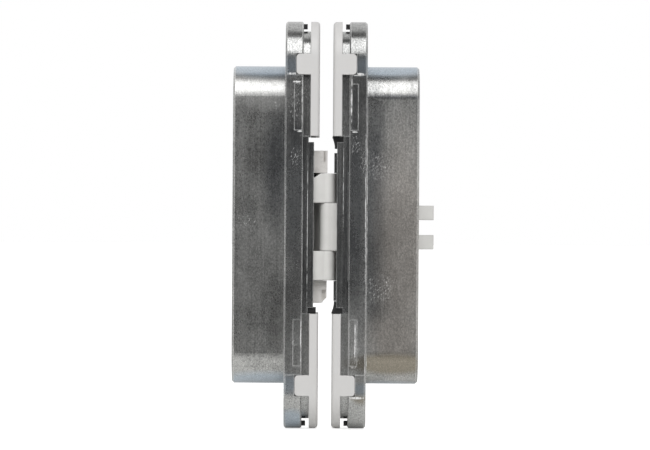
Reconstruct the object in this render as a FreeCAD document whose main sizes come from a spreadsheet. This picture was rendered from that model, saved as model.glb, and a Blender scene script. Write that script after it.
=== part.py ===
import FreeCAD, Part
import math
import os
import Sketcher
from FreeCAD import Vector

# Concealed hinge for a flush door, adjustable in three directions, shown closed.
# +X runs from the frame side to the door side, +Z runs along the pins, and -Y is the side seen first.
# The origin is the middle of the four fixing screws of the frame side, on the plane where its plate seats.

doc = FreeCAD.newDocument("concealed_hinge")
sheet = doc.addObject("Spreadsheet::Sheet", "sizes")

SIZES = [
    # Housing, the zinc casting that is let into the door or the frame
    ("plate_length", 160.0), ("plate_width", 28.0), ("flange_depth", 7.0), ("flange_edge", 0.5),
    ("flange_back_edge", 0.7), ("box_inset", 17.65), ("box_lip", 1.8), ("box_depth", 20.4),
    ("box_edge", 0.8),
    ("back_wall", 1.8), ("side_wall", 1.8), ("well_air", 0.25),
    ("island_rise", 2.8), ("island_inset", 3.8),
    ("tray_width", 15.2), ("tray_reach", 24.0), ("tray_floor", 1.6),
    ("land_depth", 0.25), ("recess_depth", 0.3), ("recess_gap", 2.3), ("recess_length", 18.0),
    ("recess_height", 3.0), ("recess_edge", 0.4),
    # Covers
    ("cover_depth", 3.5), ("cover_air", 0.1), ("cover_gap", 69.4), ("cover_wall", 1.5),
    ("cover_edge", 1.4), ("cover_rim", 2.2),
    ("foot_height", 8.1), ("foot_drop", 2.7), ("foot_wall", 3.2), ("foot_inset", 17.3),
    ("foot_corner", 1.4), ("foot_air", 0.15),
    ("latch_height", 1.9), ("latch_width", 3.4), ("latch_rise", 1.5), ("latch_inset", 1.0),
    # How far the two faces stand apart when closed, and how far the height has been set
    ("face_gap", 5.3), ("height_set", 0.75),
    # Fixing screw holes and the adjusting screws under the covers
    ("fixing_spread", 10.0), ("fixing_inset", 11.5), ("fixing_hole", 2.6), ("fixing_sink", 4.6),
    ("clamp_place", 41.6), ("clamp_shank", 2.5), ("clamp_head", 4.2), ("clamp_rise", 2.8),
    ("clamp_air", 0.5), ("clamp_tip", 6.0), ("lift_place", 51.4), ("lift_radius", 3.2),
    ("lift_rise", 1.2), ("lift_offset", 1.1), ("lift_stub", 1.5), ("lift_tip", 2.4),
    ("socket_size", 2.0), ("socket_depth", 1.8),
    # Carrier, the insert that holds the arms
    ("carrier_fit", 0.2), ("carrier_sill", 2.2), ("frame_carrier_rise", 2.1),
    ("door_carrier_rise", 2.5), ("carrier_face", 64.8),
    ("carrier_rail", 1.0), ("rail_depth", 4.5), ("carrier_depth", 27.0), ("arm_notch", 5.6),
    ("tongue_width", 14.4), ("tongue_depth", 3.6), ("tongue_reach", 22.6), ("carrier_air", 0.1),
    ("frame_lug_height", 8.7), ("door_lug_height", 7.8), ("lug_air", 0.3),
    ("frame_lug_reach", 5.35), ("door_lug_reach", 1.1), ("lug_near", 1.5),
    ("frame_lug_corner", 3.3), ("door_lug_corner", 2.0), ("rib_air", 0.1),
    ("lug_slot_width", 0.65), ("lug_slot_length", 4.4), ("lug_slot_edge", 0.85),
    ("lug_slot_depth", 2.5),
    ("lug_pocket_width", 2.0), ("lug_pocket_length", 4.2), ("lug_pocket_depth", 2.4),
    ("lug_bevel", 2.2),
    ("pad_length", 2.1), ("pad_rise", 3.2), ("pad_width", 18.6), ("ramp_length", 4.4),
    ("ramp_rise", 1.9), ("ramp_foot", 0.9),
    # Where the pins stand, from the middle plane between the faces
    ("frame_pivot_back", 3.0), ("frame_pivot_out", 7.0), ("door_pivot_back", 6.0), ("door_pivot_out", 7.0),
    ("centre_ahead", 0.7), ("centre_near", 3.3), ("open_half", 16.0),
    # Arms
    ("middle_height", 18.7), ("outer_height", 11.55), ("arm_air", 0.1),
    ("centre_knuckle", 3.1), ("pivot_knuckle", 3.3), ("tail_knuckle", 2.6), ("link_half", 2.4),
    ("middle_half", 2.3), ("middle_sag", 5.5), ("tail_out", 4.0), ("middle_tip_y", 5.5),
    ("slider_share", 0.75), ("fork_share", 0.36), ("fork_gap", 5.9), ("fork_height", 17.3),
    ("outer_half", 2.2), ("outer_sag", 6.0), ("outer_tail_x", 27.0), ("outer_tail_y", 4.2),
    ("relief_back", 2.0), ("relief_run", 2.4), ("relief_drop", 1.6),
    # Pins and their guides
    ("pivot_pin", 2.0), ("centre_pin", 1.75), ("slider_pin", 1.75), ("pin_fit", 0.05),
    ("track_air", 0.3), ("track_depth", 3.2), ("track_end_air", 0.3),
    ("rib_half", 2.6), ("rib_length", 17.15), ("rib_top", 3.6), ("rib_round", 3.0),
    ("window_low", 7.3), ("window_high", 6.4), ("window_air", 0.4),
]

for row, (alias, value) in enumerate(SIZES, start=1):
    sheet.set(f"A{row}", alias)
    sheet.set(f"B{row}", str(value))
    sheet.setAlias(f"B{row}", alias)
doc.recompute()


def size(alias):
    return float(sheet.get(alias))


def cell(text):
    """An expression on the sheet: every alias in the text gets the sheet's name."""
    words = []
    for word in text.split():
        words.append("sizes." + word if word[0].isalpha() else word)
    return " ".join(words)


# Planes and widths that several pieces share, as expressions and as numbers
BOX_WIDTH = "( plate_width - 2 * box_lip )"
WELL_WIDTH = "( plate_width - 2 * box_lip - 2 * side_wall )"
box_width = size("plate_width") - 2 * size("box_lip")
well_width = box_width - 2 * size("side_wall")
carrier_width = well_width - 2 * size("carrier_fit")
MID = "( flange_depth + island_rise + cover_air + cover_depth + face_gap / 2 )"
mid = (size("flange_depth") + size("island_rise") + size("cover_air") + size("cover_depth")
       + size("face_gap") / 2)
arm_z = -size("height_set")
half_middle = size("middle_height") / 2
outer_low = half_middle + size("arm_air")
outer_high = outer_low + size("outer_height")
lug_low = outer_high + size("lug_air")
lug_high = {side: lug_low + size(f"{side}_lug_height") for side in ("frame", "door")}


# The linkage, seen from above in the closed position

def flat(x, y):
    return Vector(x, y, 0)


def turned(v, angle):
    c, s = math.cos(angle), math.sin(angle)
    return flat(c * v.x - s * v.y, s * v.x + c * v.y)


def bearing(v):
    return math.atan2(v.y, v.x)


frame_pivot = flat(mid - size("frame_pivot_back"), size("frame_pivot_out"))
door_pivot = flat(mid + size("door_pivot_back"), size("door_pivot_out"))
centre = flat(mid + size("centre_ahead"), -size("centre_near"))
middle_link = centre - frame_pivot
outer_link = door_pivot - centre

# Opened by 180 degrees, the door side lies beside the frame side, its face on the same plane
door_pivot_open = flat(2 * mid - door_pivot.x, 2 * size("open_half") - door_pivot.y)
span = door_pivot_open - frame_pivot
along = (span.Length ** 2 + middle_link.Length ** 2 - outer_link.Length ** 2) / (2 * span.Length)
aside = math.sqrt(middle_link.Length ** 2 - along ** 2)
ahead = span * (1 / span.Length)
centre_open = frame_pivot + ahead * along + flat(ahead.y, -ahead.x) * aside
middle_turn = (bearing(centre_open - frame_pivot) - bearing(middle_link)) % (2 * math.pi)
outer_turn = (bearing(door_pivot_open - centre_open) - bearing(outer_link)) % (2 * math.pi)


def linkage(part_open):
    """The centre pin, both arms' angles, and the door's angle and pivot, at a share of the travel."""
    middle_angle = middle_turn * part_open
    outer_angle = outer_turn * part_open
    door_angle = math.pi * part_open
    pin = frame_pivot + turned(middle_link, middle_angle)
    pivot = pin + turned(outer_link, outer_angle)
    return pin, middle_angle, outer_angle, door_angle, pivot


STEPS = 200
PATH_POINTS = 6


def evenly(path):
    """A few places of a path, about equally far apart along it."""
    walked = [0.0]
    for before, after in zip(path, path[1:]):
        walked.append(walked[-1] + (after - before).Length)
    picked = []
    for number in range(PATH_POINTS):
        wanted = walked[-1] * number / (PATH_POINTS - 1)
        nearest = min(range(len(path)), key=lambda index: abs(walked[index] - wanted))
        picked.append(path[nearest])
    return picked


def outer_tail_path(tail):
    """Where a point of the outer arms passes in the frame side."""
    places = []
    for step in range(STEPS + 1):
        pin, _, outer_angle, _, _ = linkage(step / STEPS)
        places.append(pin + turned(tail - centre, outer_angle))
    return evenly(places)


def middle_tail_path(tail):
    """Where a point of the middle arm passes in the door side."""
    places = []
    for step in range(STEPS + 1):
        pin, middle_angle, _, door_angle, pivot = linkage(step / STEPS)
        place = pin + turned(tail - centre, middle_angle)
        places.append(door_pivot + turned(place - pivot, -door_angle))
    return evenly(places)


# Flat outlines, all turned into faces at a height and raised from there

def raised(wire, low, high):
    face = Part.Face(wire)
    face.translate(Vector(0, 0, low))
    return face.extrude(Vector(0, 0, high - low))


def disc(place, radius, low, high):
    return Part.makeCylinder(radius, high - low, Vector(place.x, place.y, low))


def block(x_low, x_high, y_low, y_high, low, high):
    return Part.makeBox(x_high - x_low, y_high - y_low, high - low, Vector(x_low, y_low, low))


def strap(start, end, half, low, high):
    """A straight bar between two points, half the width each side."""
    side = turned(end - start, math.pi / 2)
    side = side * (half / side.Length)
    corners = [start + side, end + side, end - side, start - side]
    return raised(Part.makePolygon(corners + corners[:1]), low, high)


class Bow:
    """A circular arc from one point to another that bulges towards -Y by a given height."""

    def __init__(self, start, end, sag):
        chord = end - start
        self.radius = (chord.Length ** 2 / 4 + sag ** 2) / (2 * sag)
        side = turned(chord, math.pi / 2) * (1 / chord.Length)
        if side.y < 0:
            side = side * -1
        self.middle = (start + end) * 0.5 + side * (self.radius - sag)
        self.first = bearing(start - self.middle)
        turn = (bearing(end - self.middle) - self.first + math.pi) % (2 * math.pi) - math.pi
        self.turn = turn

    def place(self, share, offset=0.0):
        angle = self.first + self.turn * share
        return self.middle + flat(math.cos(angle), math.sin(angle)) * (self.radius + offset)

    def band(self, half, low, high, first=0.0, last=1.0):
        """The curved bar along the arc from one share of it to another."""
        middle = (first + last) / 2
        outside = Part.Arc(*[self.place(share, half) for share in (first, middle, last)]).toShape()
        inside = Part.Arc(*[self.place(share, -half) for share in (last, middle, first)]).toShape()
        closing = [Part.makeLine(self.place(last, half), self.place(last, -half)),
                   Part.makeLine(self.place(first, -half), self.place(first, half))]
        return raised(Part.Wire([outside, closing[0], inside, closing[1]]), low, high)


def track(places, radius, low, high):
    """A slot whose middle follows the places, with round ends."""
    sides = []
    for sign in (1, -1):
        line = []
        for index, place in enumerate(places):
            before = places[max(index - 1, 0)]
            after = places[min(index + 1, len(places) - 1)]
            side = turned(after - before, math.pi / 2)
            line.append(place + side * (sign * radius / side.Length))
        sides.append(line)
    left, right = sides
    right.reverse()
    curves = []
    for line in (left, right):
        curve = Part.BSplineCurve()
        curve.interpolate(line)
        curves.append(curve.toShape())
    start = places[0] - places[1]
    end = places[-1] - places[-2]
    far_cap = Part.Arc(left[-1], places[-1] + end * (radius / end.Length), right[0]).toShape()
    near_cap = Part.Arc(right[-1], places[0] + start * (radius / start.Length), left[0]).toShape()
    return raised(Part.Wire([curves[0], far_cap, curves[1], near_cap]), low, high)


def rounded_ends(shape, radius, corners):
    """Rounds the edges along Z whose foot lies at one of the corners."""
    edges = []
    for edge in shape.Edges:
        low, high = edge.Vertexes[0].Point, edge.Vertexes[-1].Point
        upright = abs(low.x - high.x) < 1e-6 and abs(low.y - high.y) < 1e-6
        if upright and any(abs(low.x - x) < 1e-3 and abs(low.y - y) < 1e-3 for x, y in corners):
            edges.append(edge)
    return shape.makeFillet(radius, edges)


parts = []


def feature(label, shape):
    """A piece whose outline follows the linkage, made from the sheet's sizes above."""
    piece = doc.addObject("Part::Feature", label)
    piece.Label = label
    piece.Shape = shape.removeSplitter()
    piece.Placement = FreeCAD.Placement()
    parts.append(piece)
    return piece


# Centred outlines whose places and sizes are bound to the sheet

def origin_plane(body, role):
    return next(item for item in body.Origin.OriginFeatures if item.Role == role)


def new_body(label):
    body = doc.addObject("PartDesign::Body", label)
    body.Label = label
    parts.append(body)
    return body


def new_sketch(body, name, role, at):
    sketch = body.newObject("Sketcher::SketchObject", name)
    sketch.AttachmentSupport = [(origin_plane(body, role), "")]
    sketch.MapMode = "FlatFace"
    for axis, text in zip("xyz", at):
        sketch.setExpression(f"AttachmentOffset.Base.{axis}", cell(text))
    return sketch


def named(sketch, constraint, name, text):
    index = sketch.addConstraint(constraint)
    sketch.renameConstraint(index, name)
    sketch.setExpression(f"Constraints.{name}", cell(text))


def slot_sketch(body, name, at, length, width):
    """A stadium that stands upright, seen along X."""
    sketch = new_sketch(body, name, "YZ_Plane", at)
    up, half = 20.0, 5.0
    sketch.addGeometry(Part.LineSegment(Vector(-half, -up, 0), Vector(-half, up, 0)))
    sketch.addGeometry(Part.ArcOfCircle(Part.Circle(Vector(0, up, 0), Vector(0, 0, 1), half), 0, math.pi))
    sketch.addGeometry(Part.LineSegment(Vector(half, up, 0), Vector(half, -up, 0)))
    sketch.addGeometry(Part.ArcOfCircle(Part.Circle(Vector(0, -up, 0), Vector(0, 0, 1), half),
                                        math.pi, 2 * math.pi))
    for joined in ((0, 2, 1, 2), (1, 1, 2, 1), (2, 2, 3, 2), (3, 1, 0, 1)):
        sketch.addConstraint(Sketcher.Constraint("Tangent", *joined))
    sketch.addConstraint(Sketcher.Constraint("Equal", 1, 3))
    sketch.addConstraint(Sketcher.Constraint("PointOnObject", 1, 3, -2))
    sketch.addConstraint(Sketcher.Constraint("Symmetric", 1, 3, 3, 3, -1, 1))
    named(sketch, Sketcher.Constraint("Radius", 1, half), "end_radius", f"( {width} ) / 2")
    named(sketch, Sketcher.Constraint("DistanceY", 3, 3, 1, 3, 2 * up), "straight",
          f"( {length} ) - ( {width} )")
    return sketch


def box_sketch(body, name, role, at, width, height):
    """A rectangle about the sketch's own origin."""
    sketch = new_sketch(body, name, role, at)
    corners = [Vector(-5, -5, 0), Vector(5, -5, 0), Vector(5, 5, 0), Vector(-5, 5, 0)]
    for index in range(4):
        sketch.addGeometry(Part.LineSegment(corners[index], corners[(index + 1) % 4]))
        sketch.addConstraint(Sketcher.Constraint("Horizontal" if index % 2 == 0 else "Vertical", index))
    for index in range(4):
        sketch.addConstraint(Sketcher.Constraint("Coincident", index, 2, (index + 1) % 4, 1))
    sketch.addConstraint(Sketcher.Constraint("Symmetric", 0, 1, 1, 2, -1, 1))
    named(sketch, Sketcher.Constraint("DistanceX", 0, 1, 0, 2, 10), "wide", width)
    named(sketch, Sketcher.Constraint("DistanceY", 1, 1, 1, 2, 10), "high", height)
    return sketch


def circle_sketch(body, name, role, at, radius):
    sketch = new_sketch(body, name, role, at)
    sketch.addGeometry(Part.Circle(Vector(0, 0, 0), Vector(0, 0, 1), 2.0))
    sketch.addConstraint(Sketcher.Constraint("Coincident", 0, 3, -1, 1))
    named(sketch, Sketcher.Constraint("Radius", 0, 2.0), "round", radius)
    return sketch


def solid(body, kind, name, sketch, length, back=False):
    item = body.newObject("PartDesign::" + kind, name)
    item.Profile = sketch
    item.setExpression("Length", cell(length))
    item.Reversed = back
    return item


def edge_names(shape, test):
    names = []
    for index, edge in enumerate(shape.Edges, start=1):
        if test(edge.BoundBox):
            names.append(f"Edge{index}")
    return names


def dress(body, kind, name, amount, test, setting):
    """A fillet or chamfer on the edges of the body's last feature whose box passes the test."""
    doc.recompute()
    base = body.Tip
    item = body.newObject("PartDesign::" + kind, name)
    item.Base = (base, edge_names(base.Shape, test))
    item.setExpression(setting, cell(amount))
    return item


# Each side is modelled in its own frame: X out of its face, Y towards the opening side on the frame
# side and away from it on the door side, because the door side is turned round by half a turn.

SIDES = {"frame": 1, "door": -1}


def place_side(body, side):
    if side == "door":
        body.Placement = FreeCAD.Placement(Vector(0, 0, 0), FreeCAD.Rotation(Vector(0, 0, 1), 180))
        body.setExpression("Placement.Base.x", cell("2 * " + MID))


def housing(side):
    body = new_body(f"{side}_housing")
    sign = SIDES[side]
    width = "plate_width - 2 * island_inset"
    length = "plate_length - 2 * island_inset"
    solid(body, "Pad", "flange", slot_sketch(body, "plate_outline", ("0", "0", "0"),
                                             "plate_length", "plate_width"), "flange_depth")
    outline = slot_sketch(body, "box_outline", ("0", "0", "0"), "plate_length - 2 * box_inset",
                          BOX_WIDTH)
    solid(body, "Pad", "box", outline, "box_depth", back=True)
    back = -size("box_depth")
    dress(body, "Chamfer", "box_back_edge", "box_edge",
          lambda b: abs(b.XMin - back) < 1e-4 and abs(b.XMax - back) < 1e-4, "Size")
    box_end = size("plate_length") / 2 - size("box_inset")
    dress(body, "Chamfer", "flange_back_edge", "flange_back_edge",
          lambda b: (abs(b.XMin) < 1e-4 and abs(b.XMax) < 1e-4
                     and (max(abs(b.YMin), abs(b.YMax)) > box_width / 2 + 0.1
                          or max(abs(b.ZMin), abs(b.ZMax)) > box_end + 0.1)), "Size")
    front = size("flange_depth")
    dress(body, "Chamfer", "flange_front_edge", "flange_edge",
          lambda b: abs(b.XMin - front) < 1e-4 and abs(b.XMax - front) < 1e-4, "Size")
    solid(body, "Pad", "islands", slot_sketch(body, "island_outline", ("0", "0", "flange_depth"),
                                              length, width), "island_rise")
    solid(body, "Pocket", "middle_opening",
          box_sketch(body, "opening_outline", "YZ_Plane",
                     ("0", "0", "flange_depth + island_rise"), "plate_width", "cover_gap"),
          "island_rise")
    doc.recompute()
    solid(body, "Pocket", "well",
          box_sketch(body, "well_outline", "YZ_Plane", ("0", "0", "flange_depth"),
                     WELL_WIDTH, "cover_gap + 2 * well_air"),
          "flange_depth + box_depth - back_wall")
    for end in (1, -1):
        stub = "0 - lift_offset" if sign > 0 else "lift_offset"
        spot = f"{end} * ( cover_gap / 2 + tray_reach / 2 )"
        solid(body, "Pocket", f"tray_{'top' if end > 0 else 'bottom'}",
              box_sketch(body, f"tray_outline_{'top' if end > 0 else 'bottom'}", "YZ_Plane",
                         ("0", spot, "flange_depth + island_rise"), "tray_width",
                         "tray_reach + 2 * well_air"),
              "flange_depth + island_rise - tray_floor")
        for name, place, shift, radius, depth in (
                ("clamp", "clamp_place", "0", "clamp_shank", "clamp_tip + 1"),
                ("stub", "lift_place", stub, "lift_stub", "lift_tip + pin_fit")):
            where = "top" if end > 0 else "bottom"
            solid(body, "Pocket", f"{name}_hole_{where}",
                  circle_sketch(body, f"{name}_circle_{where}", "YZ_Plane",
                                ("0", f"{end} * {place} + {shift}", "tray_floor"), radius), depth)
        for row in (1, -1):
            number = (1 if end > 0 else 3) + (0 if row > 0 else 1)
            place = (f"{row} * fixing_spread / 2", f"{end} * ( plate_length / 2 - fixing_inset )",
                     "flange_depth + island_rise")
            solid(body, "Pocket", f"fixing_hole_{number}",
                  circle_sketch(body, f"fixing_circle_{number}", "YZ_Plane", place, "fixing_hole"),
                  "flange_depth + island_rise + 1")
            sink = solid(body, "Pocket", f"fixing_sink_{number}",
                         circle_sketch(body, f"sink_circle_{number}", "YZ_Plane", place, "fixing_sink"),
                         "fixing_sink - fixing_hole")
            sink.TaperAngle = -45
            notch = (f"{row} * ( plate_width - foot_wall ) / 2",
                     f"{end} * ( plate_length / 2 - foot_inset )", "flange_depth")
            solid(body, "Pocket", f"foot_notch_{number}",
                  box_sketch(body, f"notch_outline_{number}", "YZ_Plane", notch,
                             "foot_wall + 2 * foot_air", "foot_height + 2 * foot_air"),
                  "foot_drop + foot_air")
        # The shallow recess that the casting has on the near side of its flange
        rise = "flange_depth - recess_edge - recess_height / 2"
        spot = f"{end} * ( cover_gap / 2 + recess_gap + recess_length / 2 )"
        solid(body, "Pocket", f"side_recess_{'top' if end > 0 else 'bottom'}",
              box_sketch(body, f"recess_outline_{'top' if end > 0 else 'bottom'}", "XZ_Plane",
                         (rise, spot, f"{sign} * plate_width / 2"), "recess_height",
                         "recess_length"), "land_depth + recess_depth", back=sign < 0)
    # The flange's straight sides are set back a little between the covers' feet
    for row in (1, -1):
        solid(body, "Pocket", f"side_land_{'near' if row == sign else 'far'}",
              box_sketch(body, f"land_outline_{'near' if row == sign else 'far'}", "XZ_Plane",
                         ("0", "0", f"{row} * plate_width / 2"), "4 * flange_depth",
                         "plate_length - 2 * foot_inset - foot_height - 2 * foot_air"),
              "land_depth", back=row < 0)
    if side == "door":
        tall = "( fork_height - fork_gap ) / 2"
        for end in (1, -1):
            spot = f"{end} * ( fork_gap / 2 + {tall} / 2 ) - height_set"
            middle = "( window_low - window_high ) / 2"
            solid(body, "Pocket", f"tail_window_{'top' if end > 0 else 'bottom'}",
                  box_sketch(body, f"window_outline_{'top' if end > 0 else 'bottom'}", "YZ_Plane",
                             (middle, spot, "1 - box_depth + back_wall"), "window_low + window_high",
                             f"{tall} + 2 * window_air"),
                  "back_wall + 2")
    place_side(body, side)
    return body


def cover(side, end):
    """The painted cap over one end: a shallow shell with a foot over each side of the flange."""
    body = new_body(f"{side}_cover_{'top' if end > 0 else 'bottom'}")
    base = "flange_depth + island_rise + cover_air"
    solid(body, "Pad", "cap", slot_sketch(body, "cap_outline", ("0", "0", base),
                                          "plate_length", "plate_width"), "cover_depth")
    top = size("flange_depth") + size("island_rise") + size("cover_air") + size("cover_depth")
    dress(body, "Fillet", "soft_edge", "cover_edge",
          lambda b: abs(b.XMin - top) < 1e-4 and abs(b.XMax - top) < 1e-4, "Radius")
    for row in (1, -1):
        place = (f"{row} * ( plate_width - foot_wall ) / 2",
                 f"{end} * ( plate_length / 2 - foot_inset )", base)
        number = 1 if row > 0 else 2
        solid(body, "Pad", f"foot_{number}",
              box_sketch(body, f"foot_outline_{number}", "YZ_Plane", place, "foot_wall", "foot_height"),
              "island_rise + cover_air + foot_drop", back=True)
    low = size("flange_depth") - size("foot_drop")
    dress(body, "Fillet", "foot_corners", "foot_corner",
          lambda b: (b.XMin < low + 0.01 and b.XMax < low + 0.01 and b.ZLength < 1e-4), "Radius")
    solid(body, "Pocket", "hollow",
          slot_sketch(body, "hollow_outline", ("0", "0", base),
                      "plate_length - 2 * cover_rim", "plate_width - 2 * cover_rim"),
          "cover_depth - cover_wall", back=True)
    cut = f"{-end} * ( plate_length / 2 - cover_gap / 2 )"
    solid(body, "Pocket", "inner_end",
          box_sketch(body, "inner_outline", "YZ_Plane",
                     ("0", cut, base + " + cover_depth + 1"), "2 * plate_width",
                     "plate_length"),
          "2 * flange_depth + cover_depth")
    place_side(body, side)
    return body


for side in SIDES:
    housing(side)
    for end in (1, -1):
        cover(side, end)

# The two curved arms. As shares of an arm's bow: how far two stretches lap, and a cut past the tip
LAP = 0.02
BEYOND = 1.2

middle_tip = flat(2 * mid + size("box_depth") + size("tail_out"), size("middle_tip_y"))
middle_bow = Bow(centre, middle_tip, size("middle_sag"))
middle_slider = middle_bow.place(size("slider_share"))
outer_tail = flat(mid - size("outer_tail_x"), size("outer_tail_y"))
outer_bow = Bow(centre, outer_tail, size("outer_sag"))


def middle_arm():
    """Pivoted in the frame side; its forked tail straddles the rib of the door side."""
    low, high = arm_z - half_middle, arm_z + half_middle
    fork = size("fork_height") / 2
    head = disc(frame_pivot, size("pivot_knuckle"), low, high)
    head = head.fuse([strap(frame_pivot, centre, size("link_half"), low, high),
                      disc(centre, size("centre_knuckle"), low, high),
                      middle_bow.band(size("middle_half"), low, high, 0.0, size("fork_share"))])
    tail = middle_bow.band(size("middle_half"), arm_z - fork, arm_z + fork,
                           size("fork_share") - LAP, 1.0)
    tail = tail.fuse([disc(middle_tip, size("middle_half"), arm_z - fork, arm_z + fork),
                      disc(middle_slider, size("tail_knuckle"), arm_z - fork, arm_z + fork)])
    gap = size("fork_gap") / 2
    slit = middle_bow.band(3 * size("middle_half"), arm_z - gap, arm_z + gap, size("fork_share"),
                           BEYOND)
    arm = head.fuse(tail).cut(slit)
    fit = size("pin_fit")
    for place, radius in ((frame_pivot, "pivot_pin"), (centre, "centre_pin"),
                          (middle_slider, "slider_pin")):
        arm = arm.cut(disc(place, size(radius) + fit, low - 1, high + 1))
    return feature("middle_arm", arm)


def outer_arm(end):
    """One of the pair pivoted in the door side; its tail pin runs in the frame side's tracks."""
    low, high = arm_z + outer_low, arm_z + outer_high
    if end < 0:
        low, high = arm_z - outer_high, arm_z - outer_low
    arm = disc(door_pivot, size("pivot_knuckle"), low, high)
    arm = arm.fuse([strap(door_pivot, centre, size("link_half"), low, high),
                    disc(centre, size("centre_knuckle"), low, high),
                    outer_bow.band(size("outer_half"), low, high),
                    disc(outer_tail, size("tail_knuckle"), low, high)])
    fit = size("pin_fit")
    for place, radius in ((door_pivot, "pivot_pin"), (centre, "centre_pin"),
                          (outer_tail, "slider_pin")):
        arm = arm.cut(disc(place, size(radius) + fit, low - 1, high + 1))
    if end > 0:
        # The upper arm is relieved where it enters the frame side
        start = mid - size("relief_back")
        deep = start - size("relief_run")
        floor = high - size("relief_drop")
        far = outer_tail.x - 2 * size("tail_knuckle")
        side = size("plate_width")
        slope = Part.makePolygon([Vector(start, -side, high), Vector(deep, -side, floor),
                                  Vector(far, -side, floor), Vector(far, -side, high + 1),
                                  Vector(start, -side, high + 1), Vector(start, -side, high)])
        arm = arm.cut(Part.Face(slope).extrude(Vector(0, 2 * side, 0)))
    return feature(f"outer_arm_{'upper' if end > 0 else 'lower'}", arm)


def pin(label, place, radius, low, high):
    """A ground pin along Z."""
    piece = doc.addObject("Part::Cylinder", label)
    piece.setExpression("Radius", cell(radius))
    piece.Height = high - low
    piece.Placement = FreeCAD.Placement(Vector(place.x, place.y, low), FreeCAD.Rotation())
    parts.append(piece)
    return piece


middle_arm()
outer_arm(1)
outer_arm(-1)
pin("centre_pin", centre, "centre_pin", arm_z - outer_high, arm_z + outer_high)
pin("frame_pivot_pin", frame_pivot, "pivot_pin", arm_z - lug_high["frame"], arm_z + lug_high["frame"])
pin("door_pivot_pin_upper", door_pivot, "pivot_pin", arm_z + outer_low, arm_z + lug_high["door"])
pin("door_pivot_pin_lower", door_pivot, "pivot_pin", arm_z - lug_high["door"], arm_z - outer_low)
slider_end = lug_low + size("track_depth") - size("track_end_air")
pin("outer_slider_pin", outer_tail, "slider_pin", arm_z - slider_end, arm_z + slider_end)
pin("middle_slider_pin", middle_slider, "slider_pin",
    arm_z - size("fork_height") / 2, arm_z + size("fork_height") / 2)


# The carriers: a low sill, a raised face, thin rails beside the arms and a solid block at each end.
# A cut that ends on a face reaches past it by a sliver.
SLIVER = 0.01

def lug_mark(end, edge, low, high):
    """What the frame side's lugs show on their near face: a slot above, a pocket and a bevel below."""
    near = -size("lug_near")
    if end > 0:
        right = edge - size("lug_slot_edge")
        return block(right - size("lug_slot_width"), right, near - 1, near + size("lug_slot_depth"),
                     high - size("lug_slot_length"), high + 1)
    bevel = size("lug_bevel")
    corner = Part.makePolygon([Vector(edge - bevel, near - 1, low),
                               Vector(edge + 1, near - 1, low + bevel + 1),
                               Vector(edge + 1, near - 1, low - 1),
                               Vector(edge - bevel, near - 1, low - 1),
                               Vector(edge - bevel, near - 1, low)])
    corner = Part.Face(corner).extrude(Vector(0, carrier_width, 0))
    floor = low + bevel / 2
    pocket = block(edge - size("lug_pocket_width"), edge - size("lug_slot_edge") / 2, near - 1,
                   near + size("lug_pocket_depth"), floor, floor + size("lug_pocket_length"))
    return corner.fuse(pocket)


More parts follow.
